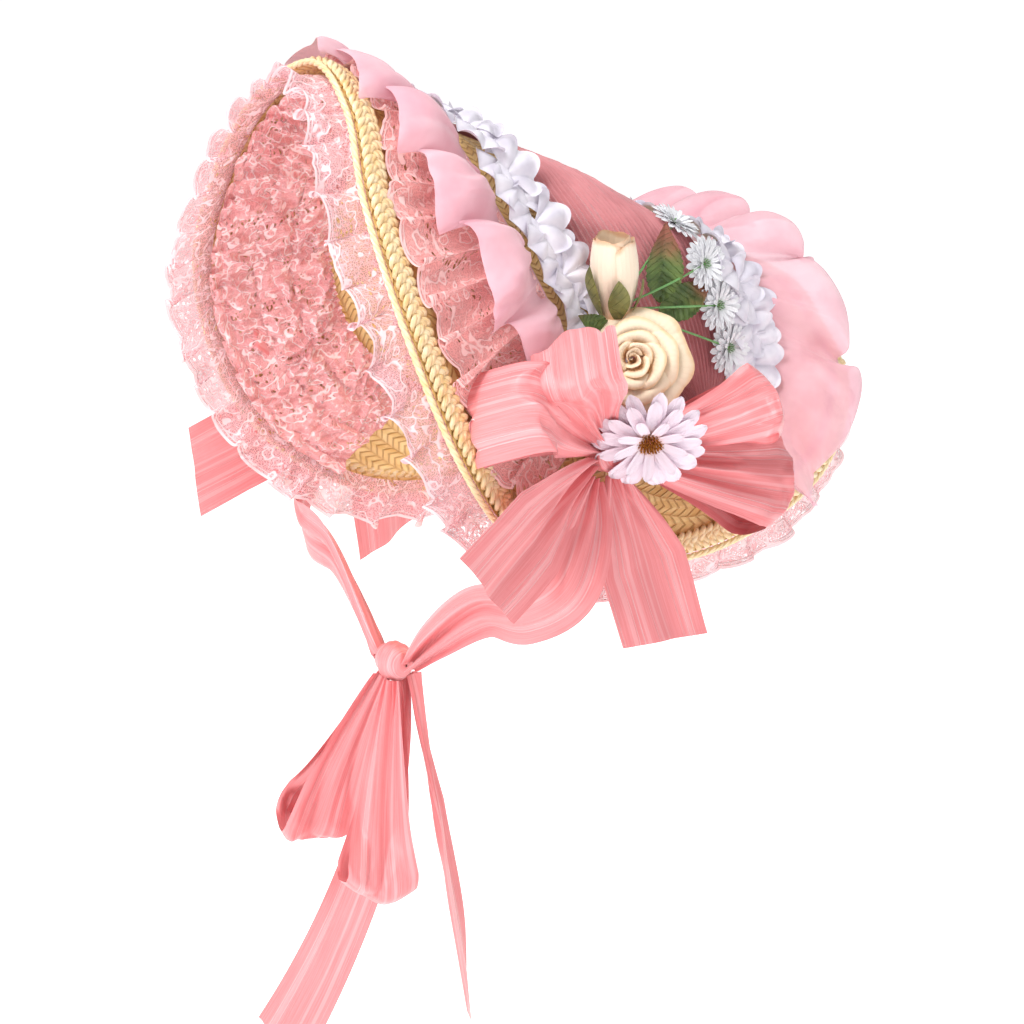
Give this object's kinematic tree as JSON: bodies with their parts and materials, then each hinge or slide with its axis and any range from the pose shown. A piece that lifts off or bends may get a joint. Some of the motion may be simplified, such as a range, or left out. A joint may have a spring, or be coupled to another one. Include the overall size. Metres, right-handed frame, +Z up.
{
  "type": "straw sun hat in bonnet form with chin ribbon",
  "caption": "Bonnet-form straw sun hat: saddle-shaped brim and low crown, chiffon ruffles, lace edge and lining, side bows, silk flowers and a ribbon tied under the chin.",
  "frame": {"origin": "the inside top of the crown, where the hat sits on the wearer's head", "axes": "+Z up, -Y towards the front of the brim, +X towards the wearer's left, where the flowers are"},
  "size_m": [0.3206, 0.352, 0.5937],
  "materials": {
    "straw_braid": "glossy plaited straw, sewn in rows",
    "rose_chiffon": "finely pleated sheer chiffon",
    "white_satin": "gathered satin ribbon with a soft shine",
    "pink_chiffon": "sheer matt chiffon",
    "salmon_lace": "matt net lace with a corded scalloped edge",
    "salmon_ribbon": "shantung ribbon with lengthwise slubs and a soft sheen",
    "cream_silk": "matt silk flower petals",
    "leaf_green": "silk leaves with veins and a red-brown edge",
    "lilac_silk": "matt silk daisy petals",
    "daisy_yellow": "flocked flower heart",
    "white_silk": "matt silk daisy petals"
  },
  "bodies": {
    "root": {"straw_body": "straw_braid", "rim_braid": "straw_braid", "crown_sash": "rose_chiffon", "front_petal_trim": "white_satin", "back_petal_trim": "white_satin", "front_ruffle": "pink_chiffon", "back_ruffle": "pink_chiffon", "outer_lace": "salmon_lace", "edge_frill": "salmon_lace", "lining_lace_1": "salmon_lace", "lining_lace_2": "salmon_lace", "lining_lace_3": "salmon_lace", "left_bow_knot": "salmon_ribbon", "left_bow_front_high_loop": "salmon_ribbon", "left_bow_front_loop": "salmon_ribbon", "left_bow_back_high_loop": "salmon_ribbon", "left_bow_back_loop": "salmon_ribbon", "left_bow_front_tail": "salmon_ribbon", "left_bow_down_tail": "salmon_ribbon", "left_chin_strap": "salmon_ribbon", "right_bow_knot": "salmon_ribbon", "right_bow_front_high_loop": "salmon_ribbon", "right_bow_front_loop": "salmon_ribbon", "right_bow_back_high_loop": "salmon_ribbon", "right_bow_back_loop": "salmon_ribbon", "right_bow_front_tail": "salmon_ribbon", "right_bow_down_tail": "salmon_ribbon", "right_chin_strap": "salmon_ribbon", "chin_knot": "salmon_ribbon", "chin_right_loop": "salmon_ribbon", "chin_left_loop": "salmon_ribbon", "chin_right_tail": "salmon_ribbon", "chin_left_tail": "salmon_ribbon", "rose_petals": "cream_silk", "rose_heart": "cream_silk", "rosebud": "cream_silk", "rosebud_sepals": "leaf_green", "leaf_1": "leaf_green", "leaf_2": "leaf_green", "leaf_3": "leaf_green", "daisy_petals": "lilac_silk", "daisy_heart": "daisy_yellow", "small_daisy_1": "white_silk", "small_daisy_2": "white_silk", "small_daisy_3": "white_silk", "small_daisy_4": "white_silk"}
  },
  "joints": []
}
